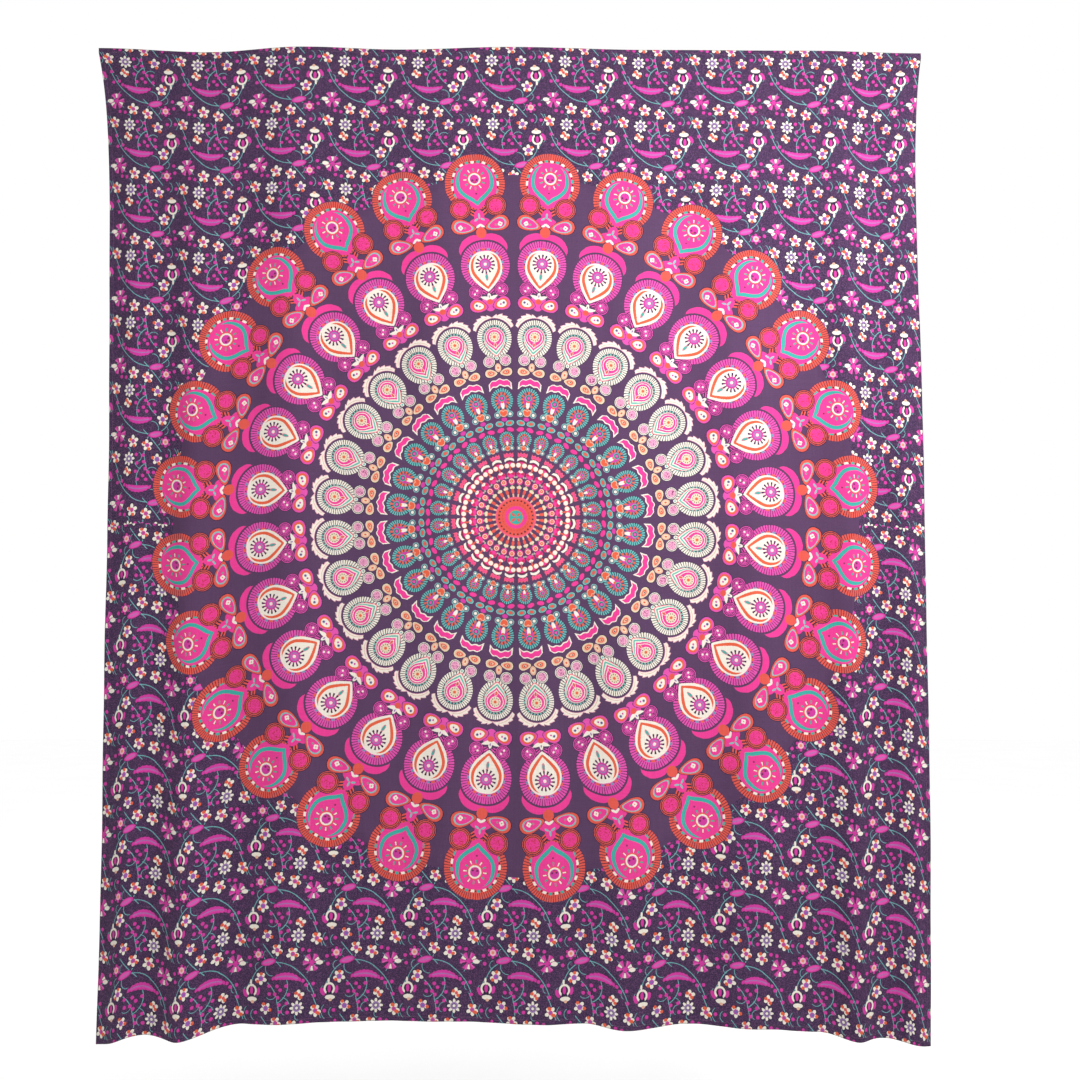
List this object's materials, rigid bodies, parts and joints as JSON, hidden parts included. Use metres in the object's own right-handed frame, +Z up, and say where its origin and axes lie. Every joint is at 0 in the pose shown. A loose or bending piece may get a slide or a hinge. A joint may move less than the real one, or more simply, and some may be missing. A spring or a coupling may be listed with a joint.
{
  "type": "tapestry wall hanging",
  "caption": "Rectangular printed cotton wall tapestry with a round rayed medallion on a floral ground, turned and stitched hems, hung in soft folds from its top hem.",
  "frame": {"origin": "middle of the flat back face of the top hem, on the plane of the wall it hangs against", "axes": "+X to the right as seen from the front, +Y out of the hem's back into the wall, +Z up along the cloth's height"},
  "size_m": [2.0877, 0.0427, 2.455],
  "materials": {
    "printed_cotton": "plain-weave cotton, screen printed in plum, magenta, coral, teal and cream",
    "hem_cotton": "the same printed cotton, turned to the back twice",
    "sewing_thread": "spun polyester sewing thread, plum"
  },
  "bodies": {
    "root": {"printed_panel": "printed_cotton", "top_hem": "hem_cotton", "bottom_hem": "hem_cotton", "left_hem": "hem_cotton", "right_hem": "hem_cotton", "top_needle_thread": "sewing_thread", "bottom_needle_thread": "sewing_thread", "left_needle_thread": "sewing_thread", "right_needle_thread": "sewing_thread", "top_bobbin_thread": "sewing_thread", "bottom_bobbin_thread": "sewing_thread", "left_bobbin_thread": "sewing_thread", "right_bobbin_thread": "sewing_thread"}
  },
  "joints": []
}
